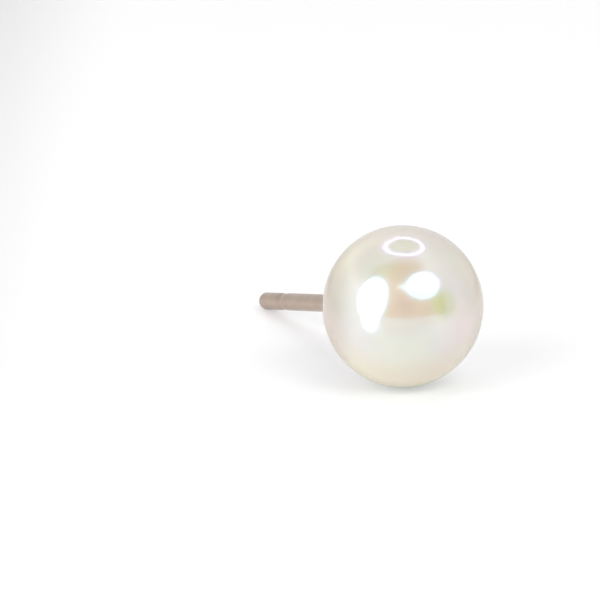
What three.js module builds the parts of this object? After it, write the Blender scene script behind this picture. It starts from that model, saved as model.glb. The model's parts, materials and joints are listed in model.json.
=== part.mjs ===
// A pearl stud earring, lying on a flat surface as it comes to rest by itself.
// Millimetres, +Z up. The pearl is at the front, towards -Y, and the post runs back towards +Y and
// down, until its end touches the surface. The origin is on the surface, under the middle of the
// earring's box.
import * as THREE from "three";

// The pearl is a nearly round bead, a little shorter along its drilled hole than it is wide.
const pearlWidth = 7.1;
const pearlDepth = 6.8;
const pearlAheadOfHole = 3.3;

// The peg is glued into the pearl's hole, and the pearl's back sits in the cup, on a film of glue.
const pegDiameter = 0.8;
const pegChamfer = 0.12;
const glueGap = 0.05;
const cupDiameter = 4.0;
const cupWall = 0.4;
const cupLandDiameter = 2.2;

// The post leaves the flat land on the cup's back and ends in a rounded tip, with a small flat end.
const postDiameter = 0.8;
const postLength = 10.6;
const solderRadius = 0.2;
const endFlatDiameter = 0.3;
const notchFromEnd = 2.3;
const notchLength = 0.8;
const notchDepth = 0.05;

// How finely the round shapes are divided: sides around the axis, steps along the outline.
const pearlSides = 56;
const pearlSteps = 28;
const postSides = 36;
const dishSteps = 6;
const roundingSteps = 5;
const notchSteps = 8;

// Radii, and places along the earring's own axis, which starts in the middle of the pearl and runs
// towards the end of the post.
const pearlRadius = pearlWidth / 2;
const pearlHalfDepth = pearlDepth / 2;
const pegRadius = pegDiameter / 2;
const postRadius = postDiameter / 2;
const endRadius = endFlatDiameter / 2;
const tipRounding = postRadius - endRadius;
const holeBottom = pearlAheadOfHole - pearlHalfDepth;

// The pearl's outline, or one that lies `outside` millimetres around it, as a distance from the axis
// and a place along it. Latitude is 0 at the pearl's girdle and a quarter turn at its back.
function outlineAt(latitude, outside = 0) {
  const fromAxis = (pearlRadius + outside) * Math.cos(latitude);
  const alongAxis = (pearlHalfDepth + outside) * Math.sin(latitude);
  return new THREE.Vector2(fromAxis, alongAxis);
}

// The latitude on the back half where that outline is `fromAxis` millimetres from the axis.
function latitudeOf(fromAxis, outside = 0) {
  return Math.acos(fromAxis / (pearlRadius + outside));
}

function outline(from, to, steps, outside = 0) {
  const points = [];
  for (let step = 0; step <= steps; step += 1) {
    points.push(outlineAt(THREE.MathUtils.lerp(from, to, step / steps), outside));
  }
  return points;
}

function arc(centre, radius, from, to, steps = roundingSteps) {
  const points = [];
  for (let step = 0; step <= steps; step += 1) {
    const angle = THREE.MathUtils.lerp(from, to, step / steps);
    const offset = new THREE.Vector2(Math.cos(angle), Math.sin(angle)).multiplyScalar(radius);
    points.push(offset.add(centre));
  }
  return points;
}

// Turns an outline around the axis, from a first angle. With an even number of sides, a line of
// corners faces straight down if that angle is 0, and the middle of a side if it is half a side.
function turned(name, profile, sides, firstAngle, material) {
  const geometry = new THREE.LatheGeometry(profile, sides, firstAngle);
  const mesh = new THREE.Mesh(geometry, material);
  mesh.name = name;
  return mesh;
}

// The bead: the outside from the front to the mouth of its hole, then down the blind hole.
function pearlProfile() {
  const holeRadius = pegRadius + glueGap;
  return [
    ...outline(-Math.PI / 2, latitudeOf(holeRadius), pearlSteps),
    new THREE.Vector2(holeRadius, holeBottom),
    new THREE.Vector2(0, holeBottom),
  ];
}

// The rim of the cup is fully rounded, from the inside of its wall to the outside.
function cupRim(latitude) {
  const inner = outlineAt(latitude, glueGap);
  const outer = outlineAt(latitude, glueGap + cupWall);
  const centre = inner.clone().add(outer).divideScalar(2);
  const facingOut = outer.clone().sub(centre).angle();
  return arc(centre, inner.distanceTo(outer) / 2, facingOut - Math.PI, facingOut);
}

// The shallow groove that a clutch clicks into.
function notch(end) {
  const points = [];
  const start = end - notchFromEnd - notchLength / 2;
  for (let step = 0; step <= notchSteps; step += 1) {
    const share = step / notchSteps;
    const depth = (notchDepth * (1 - Math.cos(2 * Math.PI * share))) / 2;
    points.push(new THREE.Vector2(postRadius - depth, start + share * notchLength));
  }
  return points;
}

// The places on the metal piece that follow from the pearl and the cup.
const rimLatitude = latitudeOf((cupDiameter - cupWall) / 2, glueGap + cupWall / 2);
const landLatitude = latitudeOf(cupLandDiameter / 2, glueGap + cupWall);
const landPlace = outlineAt(landLatitude, glueGap + cupWall).y;
const postEnd = landPlace + postLength;
const tipCentre = new THREE.Vector2(endRadius, postEnd - tipRounding);

// The metal: the peg, the inside of the cup, its rim and back, the solder, the post and its tip.
function earPostProfile() {
  const pegEnd = holeBottom + glueGap;
  const solderCentre = new THREE.Vector2(postRadius + solderRadius, landPlace + solderRadius);
  return [
    new THREE.Vector2(0, pegEnd),
    new THREE.Vector2(pegRadius - pegChamfer, pegEnd),
    new THREE.Vector2(pegRadius, pegEnd + pegChamfer),
    ...outline(latitudeOf(pegRadius, glueGap), rimLatitude, dishSteps, glueGap),
    ...cupRim(rimLatitude),
    ...outline(rimLatitude, landLatitude, dishSteps, glueGap + cupWall),
    ...arc(solderCentre, solderRadius, -Math.PI / 2, -Math.PI),
    ...notch(postEnd),
    ...arc(tipCentre, tipRounding, 0, Math.PI / 2),
    new THREE.Vector2(0, postEnd),
  ];
}

// How far the pearl and the tip reach below the middle of the pearl, when the end of the post is
// tilted down by an angle.
function pearlReach(tilt) {
  return Math.hypot(pearlRadius * Math.cos(tilt), pearlHalfDepth * Math.sin(tilt));
}

function tipReach(tilt) {
  return tipCentre.y * Math.sin(tilt) + tipCentre.x * Math.cos(tilt) + tipRounding;
}

// The earring rests on its pearl and on the end of its post, so the tilt is where both reach down
// equally far. It is found by halving the range that holds it.
function restTilt() {
  let level = 0;
  let upright = Math.PI / 2;
  for (let halving = 0; halving < 50; halving += 1) {
    const tilt = (level + upright) / 2;
    if (tipReach(tilt) < pearlReach(tilt)) level = tilt;
    else upright = tilt;
  }
  return (level + upright) / 2;
}

const nacre = new THREE.MeshStandardMaterial({ color: 0xe9e3d8, roughness: 0.18, metalness: 0 });
const whiteGold = new THREE.MeshStandardMaterial({ color: 0xcbb8a8, roughness: 0.25, metalness: 1 });

// The pearl lies on a line of its corners and the post's end on one of its sides, which keeps the
// earring from rolling.
const earring = new THREE.Group();
earring.add(turned("pearl", pearlProfile(), pearlSides, 0, nacre));
earring.add(turned("ear_post", earPostProfile(), postSides, Math.PI / postSides, whiteGold));

const tilt = restTilt();
const frontReach = Math.hypot(pearlRadius * Math.sin(tilt), pearlHalfDepth * Math.cos(tilt));
const backReach = tipCentre.y * Math.cos(tilt) + tipCentre.x * Math.sin(tilt) + tipRounding;
earring.rotation.x = -tilt;
earring.position.set(0, (frontReach - backReach) / 2, pearlReach(tilt));

export default earring;
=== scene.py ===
# %% [markdown]
# A pearl stud earring lies on a white surface: a round white pearl, drilled half way in, glued on
# the peg of a shallow metal cup, with a straight post behind. This lesson dresses the measured
# model of it. First the frame is loaded. It holds the two solids at their real size and place,
# in metres, and says which way the drilled axis points.

# %% Load the frame
import json
import math

import bmesh
import bpy
from mathutils import Matrix, Vector, noise


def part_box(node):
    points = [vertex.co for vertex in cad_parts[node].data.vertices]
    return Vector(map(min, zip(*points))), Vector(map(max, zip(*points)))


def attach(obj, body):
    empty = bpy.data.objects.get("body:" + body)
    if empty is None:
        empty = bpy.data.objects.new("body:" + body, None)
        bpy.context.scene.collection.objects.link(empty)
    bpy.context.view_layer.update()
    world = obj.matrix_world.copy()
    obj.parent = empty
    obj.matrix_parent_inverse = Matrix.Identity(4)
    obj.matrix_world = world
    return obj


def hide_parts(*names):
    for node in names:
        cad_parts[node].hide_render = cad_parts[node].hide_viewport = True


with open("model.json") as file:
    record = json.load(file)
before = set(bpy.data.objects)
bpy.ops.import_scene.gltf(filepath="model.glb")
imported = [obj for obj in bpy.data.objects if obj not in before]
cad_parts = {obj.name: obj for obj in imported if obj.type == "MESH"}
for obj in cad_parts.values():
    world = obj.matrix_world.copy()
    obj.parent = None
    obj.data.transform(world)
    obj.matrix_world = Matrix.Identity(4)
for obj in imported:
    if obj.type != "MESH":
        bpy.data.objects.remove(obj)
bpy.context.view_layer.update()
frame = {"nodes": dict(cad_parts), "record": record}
print("solids:", sorted(frame["nodes"]))

# %% [markdown]
# Every later size follows from a few facts. The earring's own axis comes from the flat land on the
# cup's back, where the ear lobe seats, and from the flat end of the post: both are mounts in the
# record. The pearl's middle is the middle of its box. The pearl is a little shorter along the axis
# than across it, so its half depth is worked out from how long its tilted box is.

# %% Read the places and sizes
MM = 0.001
mounts = {mount["name"]: mount for mount in frame["record"]["mounts"]}
axis = Vector(mounts["lobe_seat"]["axis"]).normalized()
tilt = math.asin(-axis.z)

pearl_low, pearl_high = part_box("pearl")
pearl_middle = (pearl_low + pearl_high) / 2
pearl_radius = (pearl_high.x - pearl_low.x) / 2
half_length = (pearl_high.y - pearl_low.y) / 2
pearl_half_depth = math.sqrt(half_length**2 - (pearl_radius * math.sin(tilt)) ** 2) / math.cos(tilt)

land_place = (Vector(mounts["lobe_seat"]["pos_m"]) - pearl_middle).dot(axis)
end_place = (Vector(mounts["post_end"]["pos_m"]) - pearl_middle).dot(axis)
print(f"tilt {math.degrees(tilt):.2f} degrees, pearl {2 * pearl_radius / MM:.2f} mm across")
print(f"and {2 * pearl_half_depth / MM:.2f} mm deep, post {(end_place - land_place) / MM:.2f} mm long")

# %% [markdown]
# Both pieces are round about that axis, so each is made standing on the Z axis, with the middle of
# the pearl at the origin, and then laid in place. The placing is applied to the mesh, and the
# object itself stays at the origin, so that a pattern on its coordinates keeps to real places.

# %% How a finished piece is placed
lean = Vector((0, 0, 1)).rotation_difference(axis)
stand_to_lie = Matrix.Translation(pearl_middle) @ lean.to_matrix().to_4x4()


def laid_piece(name, shape):
    bmesh.ops.transform(shape, matrix=stand_to_lie, verts=shape.verts)
    mesh = bpy.data.meshes.new(name)
    shape.to_mesh(mesh)
    shape.free()
    mesh.shade_smooth()
    piece = bpy.data.objects.new(name, mesh)
    bpy.context.collection.objects.link(piece)
    print(name, "has", len(mesh.polygons), "faces")
    return piece


# %% [markdown]
# A pearl grows, so it is never a perfect ball: its surface swells and dips by a few thousandths of
# a millimetre, which makes the edges of the reflections waver. An icosphere is used because its
# faces are all alike, with no poles to pucker a mirror-smooth surface. It is squeezed to the
# pearl's depth, and each point is then moved in by a little smooth noise, so that the bead stays
# inside its measured outline.

# %% Shape the pearl
PEARL_UNEVENNESS = 0.007 * MM
UNEVEN_PATCHES = 2.2
FINE_UNEVENNESS = 0.0012 * MM
FINE_PATCHES = 9.0
ELSEWHERE_IN_NOISE = Vector((7, 3, 5))
PEARL_SUBDIVISIONS = 7

pearl_size = Vector((pearl_radius, pearl_radius, pearl_half_depth))
pearl_shape = bmesh.new()
bmesh.ops.create_icosphere(pearl_shape, subdivisions=PEARL_SUBDIVISIONS, radius=1.0)
for point in pearl_shape.verts:
    outward = point.co.normalized()
    swell = 0.5 * (1 - noise.noise(outward * UNEVEN_PATCHES)) * PEARL_UNEVENNESS
    ripple = 0.5 * (1 - noise.noise(outward * FINE_PATCHES + ELSEWHERE_IN_NOISE)) * FINE_UNEVENNESS
    point.co = outward * pearl_size - outward * (swell + ripple)
print("the pearl starts with", len(pearl_shape.faces), "faces")

# %% [markdown]
# The blind hole is drilled from the back, which is up while the piece stands. A plane cuts the
# back off where the outline is as wide as the drill, and the open edge is pulled into a true
# circle. It is then extruded down to the bottom of the hole and closed there. Smooth shading would
# smear the mouth of the hole, so edges that are steeper than an angle are marked as sharp.

# %% Drill the pearl
PEG_RADIUS = 0.4 * MM
GLUE_GAP = 0.05 * MM
PEARL_AHEAD_OF_HOLE = 3.3 * MM
CUT_PRECISION = 1e-8


def keep_sharp(shape, degrees):
    for edge in shape.edges:
        if len(edge.link_faces) == 2 and edge.calc_face_angle(0) > math.radians(degrees):
            edge.smooth = False


hole_radius = PEG_RADIUS + GLUE_GAP
hole_bottom = PEARL_AHEAD_OF_HOLE - pearl_half_depth
mouth = pearl_half_depth * math.sqrt(1 - (hole_radius / pearl_radius) ** 2)

bmesh.ops.bisect_plane(
    pearl_shape,
    geom=pearl_shape.verts[:] + pearl_shape.edges[:] + pearl_shape.faces[:],
    dist=CUT_PRECISION,
    plane_co=(0, 0, mouth),
    plane_no=(0, 0, 1),
    clear_outer=True,
)
rim_edges = [edge for edge in pearl_shape.edges if edge.is_boundary]
for point in {point for edge in rim_edges for point in edge.verts}:
    flat = Vector((point.co.x, point.co.y, 0)).normalized()
    point.co = flat * hole_radius + Vector((0, 0, mouth))
drilled = bmesh.ops.extrude_edge_only(pearl_shape, edges=rim_edges)["geom"]
for point in [part for part in drilled if isinstance(part, bmesh.types.BMVert)]:
    point.co.z = hole_bottom
bmesh.ops.holes_fill(pearl_shape, edges=[edge for edge in pearl_shape.edges if edge.is_boundary], sides=0)
bmesh.ops.triangulate(pearl_shape, faces=[face for face in pearl_shape.faces if len(face.verts) > 4])
bmesh.ops.recalc_face_normals(pearl_shape, faces=pearl_shape.faces[:])
keep_sharp(pearl_shape, degrees=40)
print("hole", round(2 * hole_radius / MM, 2), "mm wide,", round((mouth - hole_bottom) / MM, 2), "mm deep")

pearl = laid_piece("drilled_pearl", pearl_shape)

# %% [markdown]
# The metal is one soldered piece, turned around the axis: the peg in the hole, a dish that follows
# the pearl's back, its rounded rim, the flat land where the lobe seats, a fillet of solder, and the
# post with its notch and rounded end. Its outline is a row of points joined by edges, and spin
# sweeps it round. Each stretch of the outline is a named step, worked out from the pearl's own
# curve, so that the dish keeps an even film of glue.

# %% Sizes of the metal, and helpers for its outline
POST_RADIUS = 0.4 * MM
PEG_CHAMFER = 0.12 * MM
CUP_RADIUS = 2.0 * MM
CUP_WALL = 0.4 * MM
LAND_RADIUS = 1.1 * MM
SOLDER_RADIUS = 0.2 * MM
END_FLAT_RADIUS = 0.15 * MM
NOTCH_FROM_END = 2.3 * MM
NOTCH_LENGTH = 0.8 * MM
NOTCH_DEPTH = 0.05 * MM
CURVE_STEPS = 14


def shares(steps):
    return [step / steps for step in range(steps + 1)]


def around_pearl(latitude, outside):
    return ((pearl_radius + outside) * math.cos(latitude), (pearl_half_depth + outside) * math.sin(latitude))


def latitude_of(radius, outside):
    return math.acos(radius / (pearl_radius + outside))


def follow_pearl(first, last, outside):
    return [around_pearl(first + share * (last - first), outside) for share in shares(CURVE_STEPS)]


def arc(middle, radius, first, last):
    angles = [first + share * (last - first) for share in shares(CURVE_STEPS)]
    return [(middle[0] + radius * math.cos(turn), middle[1] + radius * math.sin(turn)) for turn in angles]


print(f"cup {2 * CUP_RADIUS / MM:.1f} mm wide, post {2 * POST_RADIUS / MM:.1f} mm thick")

# %% Draw the outline of the metal
inside, outside = GLUE_GAP, GLUE_GAP + CUP_WALL
rim_latitude = latitude_of(CUP_RADIUS - CUP_WALL / 2, (inside + outside) / 2)
rim_inner, rim_outer = around_pearl(rim_latitude, inside), around_pearl(rim_latitude, outside)
rim_middle = [(a + b) / 2 for a, b in zip(rim_inner, rim_outer)]
rim_turn = math.atan2(rim_outer[1] - rim_middle[1], rim_outer[0] - rim_middle[0])
rim_radius = math.dist(rim_inner, rim_outer) / 2

solder_middle = (POST_RADIUS + SOLDER_RADIUS, land_place + SOLDER_RADIUS)
tip_radius = POST_RADIUS - END_FLAT_RADIUS
notch_start = end_place - NOTCH_FROM_END - NOTCH_LENGTH / 2
notch = [
    (POST_RADIUS - NOTCH_DEPTH * (1 - math.cos(2 * math.pi * share)) / 2, notch_start + share * NOTCH_LENGTH)
    for share in shares(CURVE_STEPS)
]
peg_end = hole_bottom + GLUE_GAP

outline = [(0, peg_end), (PEG_RADIUS - PEG_CHAMFER, peg_end), (PEG_RADIUS, peg_end + PEG_CHAMFER)]
outline += follow_pearl(latitude_of(PEG_RADIUS, inside), rim_latitude, inside)
outline += arc(rim_middle, rim_radius, rim_turn - math.pi, rim_turn)
outline += follow_pearl(rim_latitude, latitude_of(LAND_RADIUS, outside), outside)
outline += arc(solder_middle, SOLDER_RADIUS, -math.pi / 2, -math.pi)
outline += notch
outline += arc((END_FLAT_RADIUS, end_place - tip_radius), tip_radius, 0, math.pi / 2)
outline += [(0, end_place)]
print("the outline has", len(outline), "points")

# %% [markdown]
# Spin with use_merge closes the seam of a full turn. The points on the axis are swept onto
# themselves, so doubles are merged before the normals are made to face out.

# %% Spin the outline
METAL_SIDES = 96
SAME_POINT = 0.0005 * MM

metal_shape = bmesh.new()
points = [metal_shape.verts.new((radius, 0, place)) for radius, place in outline]
edges = [metal_shape.edges.new(pair) for pair in zip(points, points[1:])]
bmesh.ops.spin(
    metal_shape,
    geom=points + edges,
    cent=(0, 0, 0),
    axis=(0, 0, 1),
    angle=2 * math.pi,
    steps=METAL_SIDES,
    use_merge=True,
)
bmesh.ops.remove_doubles(metal_shape, verts=metal_shape.verts[:], dist=SAME_POINT)
bmesh.ops.recalc_face_normals(metal_shape, faces=metal_shape.faces[:])
keep_sharp(metal_shape, degrees=30)
open_edges = sum(1 for edge in metal_shape.edges if len(edge.link_faces) != 2)
print("open edges left:", open_edges)

metal = laid_piece("ear_post_metal", metal_shape)

# %% [markdown]
# Both finishes need soft, uneven patches: nacre is thicker in one place than in another, and
# polished metal is a little hazier here than there. A node group makes such a mask once. It reads
# the piece's own coordinates, which are metres, so the size of its patches is a real length. The
# noise lies around one half, and a soft step there turns it into a mask that runs from 0 to 1. Each
# material mixes its own colours or roughness with it.

# %% Build the shared patches
CLOUD_DETAIL = 2.0
MIDDLE_OF_NOISE = 0.5


def new_group(name, inputs, outputs):
    group = bpy.data.node_groups.new(name, "ShaderNodeTree")
    for label, kind, start in inputs:
        socket = group.interface.new_socket(label, in_out="INPUT", socket_type=kind)
        socket.default_value = start
    for label, kind in outputs:
        group.interface.new_socket(label, in_out="OUTPUT", socket_type=kind)
    return group, group.nodes.new("NodeGroupInput"), group.nodes.new("NodeGroupOutput")


def node(tree, kind, **settings):
    made = tree.nodes.new(kind)
    for key, value in settings.items():
        setattr(made, key, value)
    return made


soft_patches, patches_in, patches_out = new_group(
    "soft_patches",
    [
        ("Vector", "NodeSocketVector", (0, 0, 0)),
        ("Patches per metre", "NodeSocketFloat", 500.0),
        ("Edge", "NodeSocketFloat", 0.2),
    ],
    [("Mask", "NodeSocketFloat")],
)
cloud = node(soft_patches, "ShaderNodeTexNoise")
cloud.inputs["Detail"].default_value = CLOUD_DETAIL
low_edge = node(soft_patches, "ShaderNodeMath", operation="SUBTRACT")
low_edge.inputs[0].default_value = MIDDLE_OF_NOISE
high_edge = node(soft_patches, "ShaderNodeMath", operation="ADD")
high_edge.inputs[0].default_value = MIDDLE_OF_NOISE
spread = node(soft_patches, "ShaderNodeMapRange", interpolation_type="SMOOTHSTEP")
link = soft_patches.links.new
link(patches_in.outputs["Vector"], cloud.inputs["Vector"])
link(patches_in.outputs["Patches per metre"], cloud.inputs["Scale"])
link(patches_in.outputs["Edge"], low_edge.inputs[1])
link(patches_in.outputs["Edge"], high_edge.inputs[1])
link(cloud.outputs["Fac"], spread.inputs["Value"])
link(low_edge.outputs[0], spread.inputs["From Min"])
link(high_edge.outputs[0], spread.inputs["From Max"])
link(spread.outputs["Result"], patches_out.inputs["Mask"])
print("group", soft_patches.name, "is ready")

# %% [markdown]
# Nacre is a stack of clear, very thin crystal plates over a cream body. The plates are about as
# thick as light waves are long, so what they mirror is tinted, and the tint runs from blue-green to
# rose as the surface turns away. The Principled shader's thin film does just that. Its thickness
# and its IOR are the same all over, so they are plain numbers. What the plates mirror is missing
# from the light that comes back from inside, so the body itself looks peach in one place and
# green-gold in another: the orient of the pearl. It is painted in the base colour, where it stays
# on the bead from every side. A colour ramp gives the rings of tone around the pearl's face, and
# a few broad patches, each set by a direction from the pearl's middle, break them up. Painted light
# and shade go into the same colours: a darker ring along the outline as the camera sees it, painted
# light below and on the right, and painted shade above, on the left and in the upper left corner.

# %% Directions as the photograph sees them
PHOTO_AZIMUTH = math.radians(-26.0)
PHOTO_ELEVATION = math.radians(15.4)
towards_camera = Vector((
    math.sin(PHOTO_AZIMUTH) * math.cos(PHOTO_ELEVATION),
    -math.cos(PHOTO_AZIMUTH) * math.cos(PHOTO_ELEVATION),
    math.sin(PHOTO_ELEVATION),
))
to_the_right = Vector((math.cos(PHOTO_AZIMUTH), math.sin(PHOTO_AZIMUTH), 0))
upwards = towards_camera.cross(to_the_right)


def seen_from_front(right, up, forward):
    return (to_the_right * right + upwards * up + towards_camera * forward).normalized()


print("the camera is towards", [round(part, 2) for part in towards_camera])

# %% Colours of the orient, and of painted light and shade
# Each ring of tone has its angle from the middle of the pearl's face, in degrees, and its colour.
PEARL_FACE = seen_from_front(0, 0, 1)
FACE_RINGS_WITH_RIM_SHADE = [
    (0, (0.57, 0.47, 0.38, 1)),
    (16, (0.62, 0.54, 0.415, 1)),
    (30, (0.64, 0.61, 0.47, 1)),
    (42, (0.635, 0.65, 0.515, 1)),
    (60, (0.575, 0.645, 0.45, 1)),
    # Painted shade: this ring darkens the pearl's outline as the camera sees it.
    (80, (0.43, 0.495, 0.29, 1)),
    (105, (0.70, 0.64, 0.48, 1)),
]
CREAM_AND_PAINTED_LIGHT = (0.72, 0.755, 0.45, 1)
COOL_GREY_PAINTED_SHADE = (0.49, 0.545, 0.44, 1)
GREEN_GOLD = (0.57, 0.60, 0.32, 1)
PEACH = (0.53, 0.46, 0.34, 1)
OLD_GOLD_PAINTED_SHADE = (0.35, 0.38, 0.23, 1)
OLIVE_PAINTED_SHADE = (0.50, 0.52, 0.38, 1)
PALE_ROSE_PAINTED_LIGHT = (0.715, 0.70, 0.52, 1)
# Each patch has its name, its direction, how far it reaches in degrees, its colour and its strength.
ORIENT_LIGHT_AND_SHADE_PATCHES = [
    # Painted light below: the lower part is made lighter and creamier where the sheet lights it.
    ("cream_painted_light_below", seen_from_front(0.1, -1.0, 0.2), 65, CREAM_AND_PAINTED_LIGHT, 0.8),
    # Painted shade above: the top is made darker and cooler, as under the dim roof.
    ("cool_painted_shade_above", seen_from_front(0.1, 1.0, 0.0), 60, COOL_GREY_PAINTED_SHADE, 0.8),
    # Painted light on the right: a pale rose patch makes that side lighter.
    ("pale_rose_painted_light_right", seen_from_front(0.64, -0.20, 0.74), 25, PALE_ROSE_PAINTED_LIGHT, 0.8),
    ("green_right", seen_from_front(0.50, 0.04, 0.86), 14, GREEN_GOLD, 0.9),
    ("peach_high", seen_from_front(0.0, 0.50, 0.87), 17, PEACH, 0.8),
    # Painted shade on the left: a dark old-gold patch darkens that side.
    ("gold_painted_shade_left", seen_from_front(-1.0, 0.0, 0.1), 50, OLD_GOLD_PAINTED_SHADE, 0.8),
    # Painted shade in the upper left corner, where the tent's dark opening is mirrored, with an olive tint.
    ("olive_painted_shade_corner", seen_from_front(-0.37, 0.54, 0.75), 22, OLIVE_PAINTED_SHADE, 0.8),
]
print(len(FACE_RINGS_WITH_RIM_SHADE), "rings of tone and", len(ORIENT_LIGHT_AND_SHADE_PATCHES), "patches of orient")

# %% [markdown]
# Each finish is a material of its own, with the Principled shader in it. Patterns start from the
# piece's own coordinates, and for the pearl from its middle, so that a direction can be read off.
# Every patch, of orient and of painted light and shade alike, is a dot product: it says how nearly
# two directions agree, and a smooth step makes a soft round spot of that.

# %% Start the nacre
def orient_light_and_shade_patch(tree, outward, before, patch):
    """Mixes a colour over what came before. It is full in a direction and gone a width away from it."""
    name, direction, width, colour, strength = patch
    facing = node(tree, "ShaderNodeVectorMath", operation="DOT_PRODUCT")
    facing.inputs[1].default_value = direction
    fade = node(tree, "ShaderNodeMapRange", interpolation_type="SMOOTHSTEP")
    fade.inputs["From Min"].default_value = math.cos(math.radians(width))
    fade.inputs["From Max"].default_value = 1.0
    fade.inputs["To Max"].default_value = strength
    mix = node(tree, "ShaderNodeMix", data_type="RGBA", label=name)
    mix.inputs["B"].default_value = colour
    tree.links.new(outward, facing.inputs[0])
    tree.links.new(facing.outputs["Value"], fade.inputs["Value"])
    tree.links.new(fade.outputs["Result"], mix.inputs["Factor"])
    tree.links.new(before, mix.inputs["A"])
    return mix.outputs["Result"]


def new_material(name):
    material = bpy.data.materials.new(name)
    material.use_nodes = True
    return material, material.node_tree, material.node_tree.nodes["Principled BSDF"]


def own_coordinates(tree, middle=(0, 0, 0)):
    coordinates = node(tree, "ShaderNodeTexCoord")
    mapping = node(tree, "ShaderNodeMapping")
    mapping.inputs["Location"].default_value = [-part for part in middle]
    tree.links.new(coordinates.outputs["Object"], mapping.inputs["Vector"])
    return mapping.outputs["Vector"]


def patches(tree, vector, per_metre, edge):
    group = node(tree, "ShaderNodeGroup", node_tree=soft_patches)
    group.inputs["Patches per metre"].default_value = per_metre
    group.inputs["Edge"].default_value = edge
    tree.links.new(vector, group.inputs["Vector"])
    return group.outputs["Mask"]


nacre, tree, shader = new_material("nacre")
from_middle = own_coordinates(tree, pearl_middle)
print("material", nacre.name, "starts with", len(tree.nodes), "nodes")

# %% [markdown]
# The colour is laid on in layers. A ramp over the angle from the pearl's face makes the rings of
# tone, the patches of orient and of painted light and shade are mixed over it, and a faint
# cloudiness comes last, because no pearl is quite even.

# %% Colour the nacre
HALF_TURN = 180
CLOUD_TINT = (0.965, 0.955, 0.95, 1)
CLOUDS_PER_METRE = 420
CLOUD_EDGE = 0.25

direction = node(tree, "ShaderNodeVectorMath", operation="NORMALIZE")
tree.links.new(from_middle, direction.inputs[0])
facing_front = node(tree, "ShaderNodeVectorMath", operation="DOT_PRODUCT")
facing_front.inputs[1].default_value = PEARL_FACE
angle = node(tree, "ShaderNodeMath", operation="ARCCOSINE")
half_turns = node(tree, "ShaderNodeMath", operation="DIVIDE")
half_turns.inputs[1].default_value = math.pi
tones = node(tree, "ShaderNodeValToRGB")
tones.color_ramp.interpolation = "EASE"
for place, (degrees, tone) in enumerate(FACE_RINGS_WITH_RIM_SHADE):
    stop = tones.color_ramp.elements[place] if place < 2 else tones.color_ramp.elements.new(1.0)
    stop.position = degrees / HALF_TURN
    stop.color = tone
tree.links.new(direction.outputs["Vector"], facing_front.inputs[0])
tree.links.new(facing_front.outputs["Value"], angle.inputs[0])
tree.links.new(angle.outputs[0], half_turns.inputs[0])
tree.links.new(half_turns.outputs[0], tones.inputs["Fac"])
colour = tones.outputs["Color"]
for patch in ORIENT_LIGHT_AND_SHADE_PATCHES:
    colour = orient_light_and_shade_patch(tree, direction.outputs["Vector"], colour, patch)

cloudy = node(tree, "ShaderNodeMix", data_type="RGBA", blend_type="MULTIPLY")
cloudy.inputs["B"].default_value = CLOUD_TINT
tree.links.new(patches(tree, from_middle, CLOUDS_PER_METRE, CLOUD_EDGE), cloudy.inputs["Factor"])
tree.links.new(colour, cloudy.inputs["A"])
tree.links.new(cloudy.outputs["Result"], shader.inputs["Base Color"])
print("the rings run from", FACE_RINGS_WITH_RIM_SHADE[0][0], "to", FACE_RINGS_WITH_RIM_SHADE[-1][0], "degrees")

# %% [markdown]
# A pearl's reflections are soft, because each plate is a little uneven. The shared patches make them
# a little softer in one place than in another, and a very slight bump is the skin of the nacre.

# %% Give the nacre its soft gloss and its skin
SMOOTHEST_NACRE = 0.17
ROUGHEST_NACRE = 0.20
GLOSS_PATCHES_PER_METRE = 900
GLOSS_PATCH_EDGE = 0.2
SKIN_GRAINS_PER_METRE = 5200
SKIN_DETAIL = 3
SKIN_STRENGTH = 0.06
SKIN_HEIGHT = 0.01 * MM

soft_gloss = node(tree, "ShaderNodeMapRange")
soft_gloss.inputs["To Min"].default_value = SMOOTHEST_NACRE
soft_gloss.inputs["To Max"].default_value = ROUGHEST_NACRE
gloss_patches = patches(tree, from_middle, GLOSS_PATCHES_PER_METRE, GLOSS_PATCH_EDGE)
tree.links.new(gloss_patches, soft_gloss.inputs["Value"])
tree.links.new(soft_gloss.outputs["Result"], shader.inputs["Roughness"])

skin = node(tree, "ShaderNodeTexNoise")
skin.inputs["Scale"].default_value = SKIN_GRAINS_PER_METRE
skin.inputs["Detail"].default_value = SKIN_DETAIL
skin_bump = node(tree, "ShaderNodeBump")
skin_bump.inputs["Strength"].default_value = SKIN_STRENGTH
skin_bump.inputs["Distance"].default_value = SKIN_HEIGHT
tree.links.new(from_middle, skin.inputs["Vector"])
tree.links.new(skin.outputs["Fac"], skin_bump.inputs["Height"])
tree.links.new(skin_bump.outputs["Normal"], shader.inputs["Normal"])
print("the grains of its skin are", round(1 / SKIN_GRAINS_PER_METRE / MM, 2), "mm wide")

# %% [markdown]
# The gloss has two layers. The film tints the soft reflection, and a clear coat on top gives the
# small, nearly white core of each highlight. Towards the outline a real pearl's shine gets dull, so
# Layer Weight takes the coat away there. A little light passes under the skin, which is what makes
# a pearl glow.

# %% Add the film, the coat and the glow under the skin
NACRE_IOR = 1.5
FILM_NANOMETRES = 298
FILM_IOR = 2.0
COAT_WEIGHT = 0.9
COAT_FADES_FROM = 0.55
COAT_ROUGHNESS = 0.07
COAT_IOR = 1.5
GLOW_WEIGHT = 0.25
GLOW_COLOURS = (1.0, 0.8, 0.6)
GLOW_DEPTH = 0.4 * MM

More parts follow.
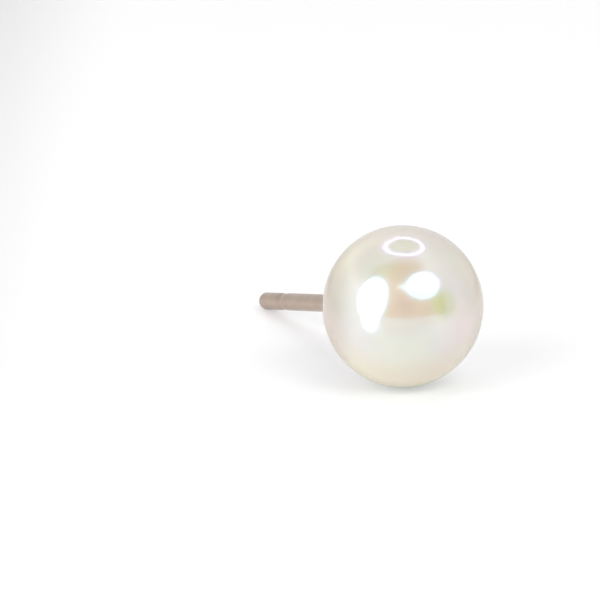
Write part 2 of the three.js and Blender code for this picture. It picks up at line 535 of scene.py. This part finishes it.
slant = node(tree, "ShaderNodeLayerWeight")
slant.inputs["Blend"].default_value = 0.5
shader.inputs["IOR"].default_value = NACRE_IOR
shader.inputs["Thin Film Thickness"].default_value = FILM_NANOMETRES
shader.inputs["Thin Film IOR"].default_value = FILM_IOR
coat_fade = node(tree, "ShaderNodeMapRange", interpolation_type="SMOOTHSTEP")
coat_fade.inputs["From Min"].default_value = COAT_FADES_FROM
coat_fade.inputs["To Min"].default_value = COAT_WEIGHT
coat_fade.inputs["To Max"].default_value = 0.0
tree.links.new(slant.outputs["Facing"], coat_fade.inputs["Value"])
tree.links.new(coat_fade.outputs["Result"], shader.inputs["Coat Weight"])
shader.inputs["Coat Roughness"].default_value = COAT_ROUGHNESS
shader.inputs["Coat IOR"].default_value = COAT_IOR
shader.inputs["Subsurface Weight"].default_value = GLOW_WEIGHT
shader.inputs["Subsurface Radius"].default_value = GLOW_COLOURS
shader.inputs["Subsurface Scale"].default_value = GLOW_DEPTH
pearl.data.materials.append(nacre)
print("the film on the nacre is", FILM_NANOMETRES, "nm thick")

# %% [markdown]
# The metal is white gold without plating, a warm grey. The post is drawn wire, so its fine lines run
# along it. They are a noise whose coordinates are turned to the earring's own axis and pressed
# together along it, which stretches the noise into lines. They could be cut into the mesh, but they
# are far too fine for that, so a bump stands in for them.

# %% Draw the lines of the white gold
LINES_PER_METRE = 16000
LINE_DETAIL = 2
LINE_STRENGTH = 0.03
LINE_HEIGHT = 0.004 * MM
PRESSED_ALONG = 0.015

white_gold, tree, shader = new_material("white_gold")
along = own_coordinates(tree, pearl_middle)
turned = node(tree, "ShaderNodeMapping", vector_type="TEXTURE")
turned.inputs["Rotation"].default_value = lean.to_euler()
squeezed = node(tree, "ShaderNodeMapping")
squeezed.inputs["Scale"].default_value = (1, 1, PRESSED_ALONG)
lines = node(tree, "ShaderNodeTexNoise")
lines.inputs["Scale"].default_value = LINES_PER_METRE
lines.inputs["Detail"].default_value = LINE_DETAIL
line_bump = node(tree, "ShaderNodeBump")
line_bump.inputs["Strength"].default_value = LINE_STRENGTH
line_bump.inputs["Distance"].default_value = LINE_HEIGHT
tree.links.new(along, turned.inputs["Vector"])
tree.links.new(turned.outputs["Vector"], squeezed.inputs["Vector"])
tree.links.new(squeezed.outputs["Vector"], lines.inputs["Vector"])
tree.links.new(lines.outputs["Fac"], line_bump.inputs["Height"])
tree.links.new(line_bump.outputs["Normal"], shader.inputs["Normal"])
print("the lines are", round(1 / PRESSED_ALONG), "times as long as wide")

# %% [markdown]
# Handling dulls a polished metal unevenly, so the shared patches make some places a little darker
# and hazier than others. Both colours are also darker all over than the white gold itself: that is
# painted shade, standing in for the shaded surroundings that the post mirrors. The range of haze is
# narrow and stays above 0.275, because smoother patches broke the thin reflections on the post into kinks.

# %% Colour the white gold
# Both colours are the white gold darkened all over: painted shade for the surroundings the post mirrors.
CLEAN_METAL_WITH_PAINTED_SHADE = (0.495, 0.39, 0.32, 1)
HANDLED_METAL_WITH_PAINTED_SHADE = (0.45, 0.35, 0.285, 1)
LEAST_HAZE = 0.28
MOST_HAZE = 0.32
MOTTLES_PER_METRE = 1500
MOTTLE_EDGE = 0.25

metal_colour = node(tree, "ShaderNodeMix", data_type="RGBA")
metal_colour.inputs["A"].default_value = CLEAN_METAL_WITH_PAINTED_SHADE
metal_colour.inputs["B"].default_value = HANDLED_METAL_WITH_PAINTED_SHADE
haze = node(tree, "ShaderNodeMapRange")
haze.inputs["To Min"].default_value = LEAST_HAZE
haze.inputs["To Max"].default_value = MOST_HAZE
mottle = patches(tree, along, MOTTLES_PER_METRE, MOTTLE_EDGE)
tree.links.new(mottle, metal_colour.inputs["Factor"])
tree.links.new(mottle, haze.inputs["Value"])
tree.links.new(metal_colour.outputs["Result"], shader.inputs["Base Color"])
tree.links.new(haze.outputs["Result"], shader.inputs["Roughness"])
shader.inputs["Metallic"].default_value = 1.0
metal.data.materials.append(white_gold)
print("the haze of the metal runs from", LEAST_HAZE, "to", MOST_HAZE)

# %% [markdown]
# The earring lies on a plain white surface with no edge in sight. One large flat square is enough
# for it.

# %% Lay the white sheet
SHEET_SIZE = 6.0

sheet_shape = bmesh.new()
bmesh.ops.create_grid(sheet_shape, x_segments=1, y_segments=1, size=SHEET_SIZE / 2)
sheet_mesh = bpy.data.meshes.new("white_sheet")
sheet_shape.to_mesh(sheet_mesh)
sheet_shape.free()
white_sheet = bpy.data.objects.new("white_sheet", sheet_mesh)
bpy.context.collection.objects.link(white_sheet)
print("the sheet is", SHEET_SIZE, "m wide")

# %% [markdown]
# A white surface that is to look white, and not grey, needs light of its own, so part of its
# brightness is a glow, and the rest takes the soft shadows. A painted pool of light, along the
# camera's line of sight, makes the glow stronger in a long patch behind the earring. To both sides
# the sheet is a little darker, so that the pearl's outline shows against it from there too.

# %% Light the sheet from within
SHEET_COLOUR = (0.495, 0.51, 0.525, 1)
SHEET_GLOW = 0.19
# A painted pool of light: the sheet glows brighter in a long patch behind the earring.
PAINTED_POOL_GLOW = 0.18
PAINTED_POOL_WIDTH = 50 * MM
PAINTED_POOL_LENGTH = 360 * MM
PAINTED_POOL_AHEAD = 60 * MM
PAINTED_POOL_EDGE = 0.42
away_from_camera = Vector((-math.sin(PHOTO_AZIMUTH), math.cos(PHOTO_AZIMUTH), 0))
bright_middle = Vector((pearl_middle.x, pearl_middle.y, 0)) + away_from_camera * PAINTED_POOL_AHEAD

sheet_paint, tree, shader = new_material("white_sheet")
shader.inputs["Base Color"].default_value = SHEET_COLOUR
shader.inputs["Specular IOR Level"].default_value = 0.0
shader.inputs["Emission Strength"].default_value = 1.0
bright_place = node(tree, "ShaderNodeMapping", vector_type="TEXTURE")
bright_place.inputs["Location"].default_value = bright_middle
bright_place.inputs["Rotation"].default_value = (0, 0, PHOTO_AZIMUTH)
bright_place.inputs["Scale"].default_value = (PAINTED_POOL_WIDTH / 2, PAINTED_POOL_LENGTH / 2, 1)
bright_shape = node(tree, "ShaderNodeTexGradient", gradient_type="SPHERICAL")
glow = node(tree, "ShaderNodeMapRange", interpolation_type="SMOOTHSTEP")
glow.inputs["From Max"].default_value = PAINTED_POOL_EDGE
glow.inputs["To Min"].default_value = SHEET_GLOW
glow.inputs["To Max"].default_value = SHEET_GLOW + PAINTED_POOL_GLOW
tree.links.new(own_coordinates(tree), bright_place.inputs["Vector"])
tree.links.new(bright_place.outputs["Vector"], bright_shape.inputs["Vector"])
tree.links.new(bright_shape.outputs["Fac"], glow.inputs["Value"])
tree.links.new(glow.outputs["Result"], shader.inputs["Emission Color"])
white_sheet.data.materials.append(sheet_paint)
print("the bright patch is", round(PAINTED_POOL_WIDTH / MM), "by", round(PAINTED_POOL_LENGTH / MM), "mm")

# %% [markdown]
# A pearl shows its whole surroundings, so the surroundings are part of the picture. It stands in a
# light tent: white walls, a roof that is a little darker, an open front that is darker still, and a
# ring lamp high up. The walls could be modelled, but a world shader that draws them by direction is
# simpler, and nothing of it can stand in the camera's way. It needs three small helpers: the share
# of a direction that points some way, one step of arithmetic, and a soft edge.

# %% Start the light tent
world = bpy.data.worlds.new("light_tent")
bpy.context.scene.world = world
world.use_nodes = True
tent = world.node_tree
for old in tent.nodes[:]:
    tent.nodes.remove(old)
ray = node(tent, "ShaderNodeTexCoord")


def share_of(direction):
    made = node(tent, "ShaderNodeVectorMath", operation="DOT_PRODUCT")
    made.inputs[1].default_value = direction
    tent.links.new(ray.outputs["Generated"], made.inputs[0])
    return made.outputs["Value"]


def maths(operation, first, second=0.0):
    made = node(tent, "ShaderNodeMath", operation=operation)
    for socket, value in zip(made.inputs, (first, second)):
        if isinstance(value, float):
            socket.default_value = value
        else:
            tent.links.new(value, socket)
    return made.outputs[0]


def fade_between(value, start, end):
    made = node(tent, "ShaderNodeMapRange", interpolation_type="SMOOTHSTEP")
    made.inputs["From Min"].default_value = start
    made.inputs["From Max"].default_value = end
    tent.links.new(value, made.inputs["Value"])
    return made.outputs["Result"]


print("the tent is a world named", world.name)

# %% [markdown]
# The opening is where a direction that leads to the front is neither too far to the side nor too
# high. The tent's front is turned a little to the left of the camera.

# %% Draw the opening of the tent
OPENING_TURN = math.radians(-3.0)
OPENING_WIDTH = 2.5
OPENING_HEIGHT = 4.7
OPENING_FADE = 0.08
front_azimuth = PHOTO_AZIMUTH + OPENING_TURN
front = Vector((math.sin(front_azimuth), -math.cos(front_azimuth), 0))
side = Vector((math.cos(front_azimuth), math.sin(front_azimuth), 0))

ahead = share_of(front)
across = maths("ABSOLUTE", share_of(side))
height = share_of(Vector((0, 0, 1)))
width_left = maths("SUBTRACT", maths("MULTIPLY", ahead, OPENING_WIDTH), across)
height_left = maths("SUBTRACT", maths("MULTIPLY", ahead, OPENING_HEIGHT), height)
inside_width = fade_between(width_left, -OPENING_FADE, OPENING_FADE)
inside_height = fade_between(height_left, -OPENING_FADE, OPENING_FADE)
opening = maths("MULTIPLY", inside_width, inside_height)
print("to each side the opening reaches", round(math.degrees(math.atan(OPENING_WIDTH))), "degrees")

# %% [markdown]
# The ring lamp is a band of angles around its own direction, with a darker middle.

# %% Draw the ring lamp
RING_DIRECTION = seen_from_front(0.045, 1.0, -0.07)
RING_LIGHT = 6.5
RING_ANGLE = math.radians(18.0)
RING_BAND = math.radians(1.8)
RING_FULL_PART = 0.6
RING_MIDDLE_DIMMING = 0.45

ring_turn = maths("ARCCOSINE", share_of(RING_DIRECTION))
from_band = maths("ABSOLUTE", maths("SUBTRACT", ring_turn, RING_ANGLE))
ring = fade_between(from_band, RING_BAND, RING_BAND * RING_FULL_PART)
ring_middle = fade_between(ring_turn, RING_ANGLE, RING_ANGLE - 2 * RING_BAND)
dark_middle = maths("MULTIPLY", ring_middle, RING_MIDDLE_DIMMING)
ring_light = maths("SUBTRACT", maths("MULTIPLY", ring, RING_LIGHT), dark_middle)
print("the ring lamp is", round(2 * math.degrees(RING_ANGLE)), "degrees wide")

# %% [markdown]
# The walls get darker towards the roof, the opening takes most of their light away, and the ring
# adds its own. The camera itself sees plain white behind the sheet.

# %% Put the tent's light together
TENT_WHITE = 0.92
OPENING_LIGHT = 0.07
ROOF_DIMMING = 0.26

wall_light = maths("ADD", maths("MULTIPLY", maths("MAXIMUM", height, 0.0), -ROOF_DIMMING), TENT_WHITE)
share_lit = maths("ADD", maths("MULTIPLY", opening, OPENING_LIGHT - 1.0), 1.0)
all_light = maths("ADD", maths("MULTIPLY", wall_light, share_lit), ring_light)
tent_background = node(tent, "ShaderNodeBackground")
tent.links.new(all_light, tent_background.inputs["Strength"])
plain_background = node(tent, "ShaderNodeBackground")
plain_background.inputs["Strength"].default_value = 1.0
plain_background.inputs["Color"].default_value = (1, 1, 1, 1)
tent_background.inputs["Color"].default_value = (1, 1, 1, 1)
light_path = node(tent, "ShaderNodeLightPath")
chosen = node(tent, "ShaderNodeMixShader")
tent.links.new(light_path.outputs["Is Camera Ray"], chosen.inputs["Fac"])
tent.links.new(tent_background.outputs[0], chosen.inputs[1])
tent.links.new(plain_background.outputs[0], chosen.inputs[2])
tent.links.new(chosen.outputs[0], node(tent, "ShaderNodeOutputWorld").inputs["Surface"])
print("the walls are", TENT_WHITE, "bright, and the opening is", OPENING_LIGHT, "of that")

# %% [markdown]
# The lamps shine in through the opening. The left one is a large upright softbox, and its
# reflection is the long highlight on the pearl's left. The right one is wider than tall, and a
# narrow strip beside it draws its highlight out to a point. Each is an elliptical area light at a
# real distance, turned to the pearl, with its power worked out from how bright its face is. A
# polished table would mirror the softbox below the horizon. The sheet is matt, so a small card near
# the pearl stands in for that: only the gloss sees it, and it lights nothing.

# %% Set up the lamps
LAMP_DISTANCE = 0.5
CARD_DISTANCE = 11 * MM
LAMP_COLOUR = (1.0, 0.93, 0.90)


def lamp(name, direction, wide, high, brightness, distance=LAMP_DISTANCE):
    """A soft lamp in a direction from the pearl, as wide and high as it looks from there in degrees."""
    data = bpy.data.lights.new(name, "AREA")
    data.shape = "ELLIPSE"
    data.size = 2 * distance * math.tan(math.radians(wide / 2))
    data.size_y = 2 * distance * math.tan(math.radians(high / 2))
    face_area = math.pi / 4 * data.size * data.size_y
    data.energy = brightness * math.pi * face_area
    data.color = LAMP_COLOUR
    made = bpy.data.objects.new(name, data)
    made.location = pearl_middle + direction * distance
    made.rotation_euler = direction.to_track_quat("Z", "Y").to_euler()
    bpy.context.collection.objects.link(made)
    made.visible_camera = False
    print(name, "is", round(data.size / MM), "by", round(data.size_y / MM), "mm")
    return made


lamp("left_softbox", seen_from_front(-0.67, 0.155, 0.72), wide=46, high=60, brightness=5.2)
lamp("right_lamp", seen_from_front(0.48, 0.46, 0.74), wide=48, high=36, brightness=5.0)
lamp("right_strip", seen_from_front(0.12, 0.45, 0.88), wide=24, high=9, brightness=2.6)
card_direction = seen_from_front(-0.624, -0.208, 0.753)
shine_card = lamp("shine_card", card_direction, wide=24, high=35, brightness=4.0, distance=CARD_DISTANCE)
shine_card.visible_diffuse = False

# %% [markdown]
# The camera looks from the photograph's angle through a long lens. Its picture is taken as 600
# pixels square. The pearl's middle and half width in that picture give where the camera aims and
# how long the lens is.

# %% Place the camera
PICTURE_PIXELS = 600
PEARL_PIXEL_X = 403.0
PEARL_PIXEL_Y = 306.3
PEARL_HALF_WIDTH_PIXELS = 81.3
CAMERA_DISTANCE = 0.2
SENSOR_MM = 36.0
NEAREST_SEEN = 0.01
FARTHEST_SEEN = 50

focal_pixels = PEARL_HALF_WIDTH_PIXELS / math.tan(math.asin(pearl_radius / CAMERA_DISTANCE))
metres_per_pixel = CAMERA_DISTANCE / focal_pixels
aim_right = (PICTURE_PIXELS / 2 - PEARL_PIXEL_X) * metres_per_pixel
aim_up = (PEARL_PIXEL_Y - PICTURE_PIXELS / 2) * metres_per_pixel
aim = pearl_middle + to_the_right * aim_right + upwards * aim_up

camera_data = bpy.data.cameras.new("camera")
camera_data.sensor_width = SENSOR_MM
camera_data.lens = focal_pixels / PICTURE_PIXELS * SENSOR_MM
camera_data.clip_start = NEAREST_SEEN
camera_data.clip_end = FARTHEST_SEEN
camera = bpy.data.objects.new("camera", camera_data)
camera.location = aim + towards_camera * CAMERA_DISTANCE
camera.rotation_euler = towards_camera.to_track_quat("Z", "Y").to_euler()
bpy.context.collection.objects.link(camera)
bpy.context.scene.camera = camera
bpy.context.scene.view_settings.view_transform = "Standard"
print("lens", round(camera_data.lens), "mm")

# %% [markdown]
# Each piece takes the place of its solid and rides on the earring's one body.

# %% Hand the pieces over
for piece, solid, finish in ((pearl, "pearl", "nacre"), (metal, "ear_post", "white_gold")):
    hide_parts(solid)
    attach(piece, "root")
